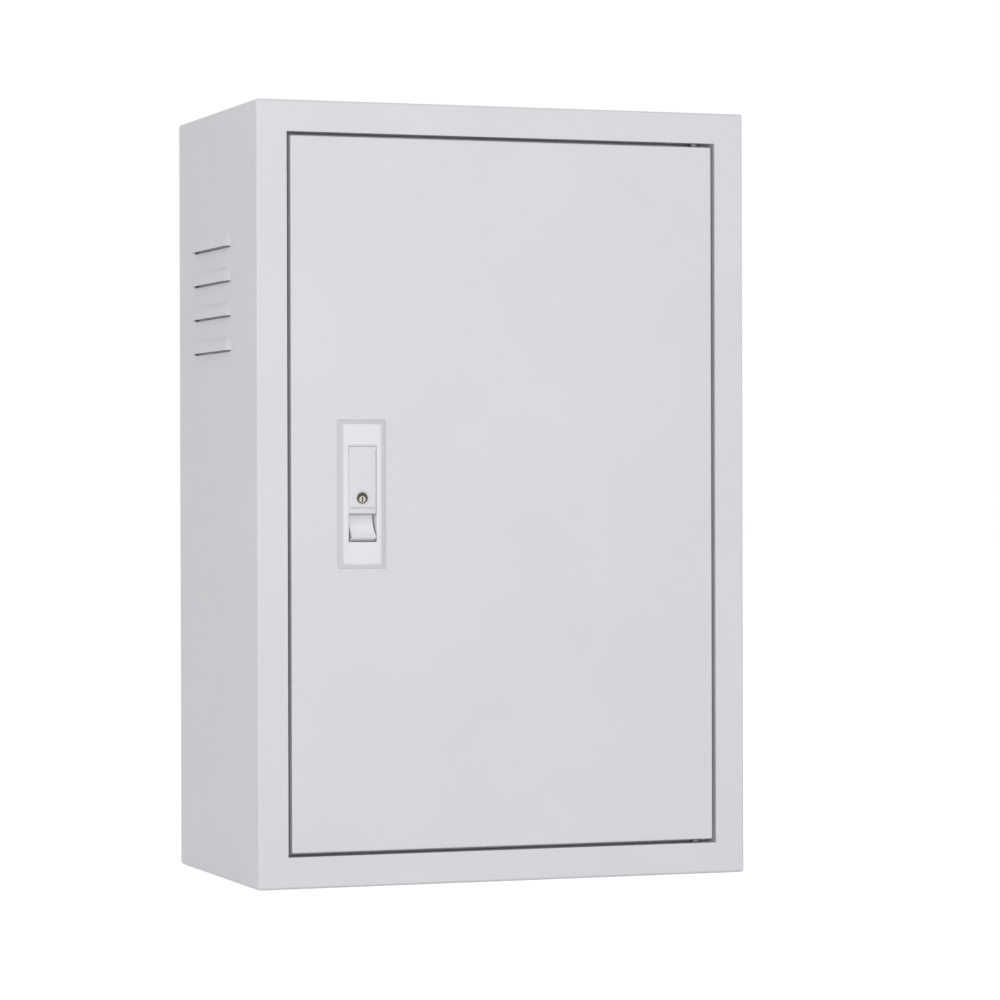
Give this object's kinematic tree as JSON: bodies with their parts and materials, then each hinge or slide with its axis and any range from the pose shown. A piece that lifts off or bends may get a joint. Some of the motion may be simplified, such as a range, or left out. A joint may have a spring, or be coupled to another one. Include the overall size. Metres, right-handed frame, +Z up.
{
  "type": "motor control cabinet",
  "caption": "Wall-mounted sheet-steel motor control cabinet with an inset door, flush push-button lock and side louvres, holding a reversing starter, breakers and wiring ducts.",
  "frame": {"origin": "centre of the footprint of the whole cabinet, at its underside", "axes": "+Z up, +Y towards the wall, so the door faces -Y, +X to the right as seen from the front"},
  "size_m": [0.409, 0.2308, 0.6],
  "materials": {
    "cabinet_paint": "light grey powder coat, satin",
    "lock_paint": "pale grey enamel on die-cast zinc, semi-gloss",
    "key_metal": "nickel plated",
    "zinc_steel": "zinc plated",
    "seal_rubber": "matte black",
    "pocket_plastic": "light grey, matte",
    "duct_plastic": "grey, matte",
    "dark_case": "dark grey, matte",
    "light_case": "pale grey, matte",
    "toggle_black": "black, semi-gloss",
    "reset_blue": "blue, semi-gloss",
    "stop_red": "red, semi-gloss",
    "copper": "bare copper",
    "terminal_beige": "beige, matte",
    "earth_brass": "bare brass"
  },
  "bodies": {
    "cabinet": {"body_wrap": "cabinet_paint", "inner_frame": "cabinet_paint", "back_panel": "cabinet_paint", "gland_plate": "cabinet_paint", "gland_seal": "seal_rubber", "gland_nuts": "zinc_steel", "cable_grommets": "seal_rubber", "hinge_lugs": "cabinet_paint", "hinge_pins": "zinc_steel", "mounting_plate": "zinc_steel", "plate_spacers": "zinc_steel", "plate_nuts": "zinc_steel", "plate_screws": "zinc_steel", "wire_duct_left": "duct_plastic", "wire_duct_right": "duct_plastic", "wire_duct_middle": "duct_plastic", "wire_duct_lower": "duct_plastic", "duct_covers_upright": "duct_plastic", "duct_covers_level": "duct_plastic", "rail_upper": "zinc_steel", "rail_starter": "zinc_steel", "rail_terminals": "zinc_steel", "breaker_case": "dark_case", "breaker_bolts": "zinc_steel", "breaker_tabs": "copper", "control_breaker_case": "light_case", "contactor_forward_base": "dark_case", "contactor_forward_head": "light_case", "contactor_reverse_base": "dark_case", "contactor_reverse_head": "light_case", "overload_case": "dark_case", "overload_prongs": "copper", "terminal_screws": "zinc_steel", "terminal_blocks": "terminal_beige", "end_clamps": "duct_plastic", "earth_bar": "earth_brass", "earth_screws": "zinc_steel"},
    "door": {"door_panel": "cabinet_paint", "door_seal": "seal_rubber", "door_stiffener": "cabinet_paint", "document_pocket": "pocket_plastic", "door_earth_stud": "zinc_steel", "hinge_blocks": "cabinet_paint", "lock_bezel": "lock_paint", "lock_clamps": "zinc_steel", "lock_screws": "zinc_steel", "lever_pin": "zinc_steel"},
    "lever": {"lock_lever": "lock_paint"},
    "key": {"key_cylinder": "key_metal"},
    "button": {"push_button": "lock_paint"},
    "cam": {"cam_rotor": "zinc_steel", "cam_plate": "zinc_steel", "cam_nut": "zinc_steel"},
    "breaker_handle": {"breaker_toggle": "toggle_black"},
    "control_handle": {"control_breaker_toggle": "toggle_black"},
    "forward_armature": {"contactor_forward_armature": "toggle_black"},
    "reverse_armature": {"contactor_reverse_armature": "toggle_black"},
    "current_dial": {"overload_dial": "light_case"},
    "reset_button": {"overload_reset": "reset_blue"},
    "stop_button": {"overload_stop": "stop_red"}
  },
  "joints": [
    {"name": "door_swing", "type": "hinge", "parent": "cabinet", "child": "door", "pos_m": [0.161, -0.10215, 0.3], "axis": [0, 0, 1], "range_deg": [0, 115]},
    {"name": "lever_lift", "type": "hinge", "parent": "door", "child": "lever", "pos_m": [-0.117, -0.10865, 0.333], "axis": [-1, 0, 0], "range_deg": [0, 35]},
    {"name": "key_turn", "type": "hinge", "parent": "lever", "child": "key", "pos_m": [-0.117, -0.11155, 0.29695], "axis": [0, 1, 0], "range_deg": [0, 90]},
    {"name": "button_press", "type": "slide", "parent": "door", "child": "button", "axis": [0, 1, 0], "range_m": [0, 0.003], "stiffness_N_per_m": 400, "springref_m": -0.004},
    {"name": "cam_turn", "type": "hinge", "parent": "door", "child": "cam", "pos_m": [-0.117, -0.08445, 0.322], "axis": [0, 1, 0], "range_deg": [0, 90]},
    {"name": "breaker_throw", "type": "hinge", "parent": "cabinet", "child": "breaker_handle", "pos_m": [-0.09, 0.04185, 0.475], "axis": [-1, 0, 0], "range_deg": [0, 36]},
    {"name": "control_throw", "type": "hinge", "parent": "cabinet", "child": "control_handle", "pos_m": [0.004, 0.03485, 0.475], "axis": [-1, 0, 0], "range_deg": [0, 36]},
    {"name": "forward_pull_in", "type": "slide", "parent": "cabinet", "child": "forward_armature", "axis": [0, 1, 0], "range_m": [0, 0.003], "stiffness_N_per_m": 300, "springref_m": -0.005},
    {"name": "reverse_pull_in", "type": "slide", "parent": "cabinet", "child": "reverse_armature", "axis": [0, 1, 0], "range_m": [0, 0.003], "stiffness_N_per_m": 300, "springref_m": -0.005},
    {"name": "current_setting", "type": "hinge", "parent": "cabinet", "child": "current_dial", "pos_m": [-0.034, 0.02185, 0.245], "axis": [0, 1, 0], "range_deg": [0, 270]},
    {"name": "reset_press", "type": "slide", "parent": "cabinet", "child": "reset_button", "axis": [0, 1, 0], "range_m": [0, 0.002], "stiffness_N_per_m": 200, "springref_m": -0.004},
    {"name": "stop_press", "type": "slide", "parent": "cabinet", "child": "stop_button", "axis": [0, 1, 0], "range_m": [0, 0.002], "stiffness_N_per_m": 200, "springref_m": -0.004}
  ]
}
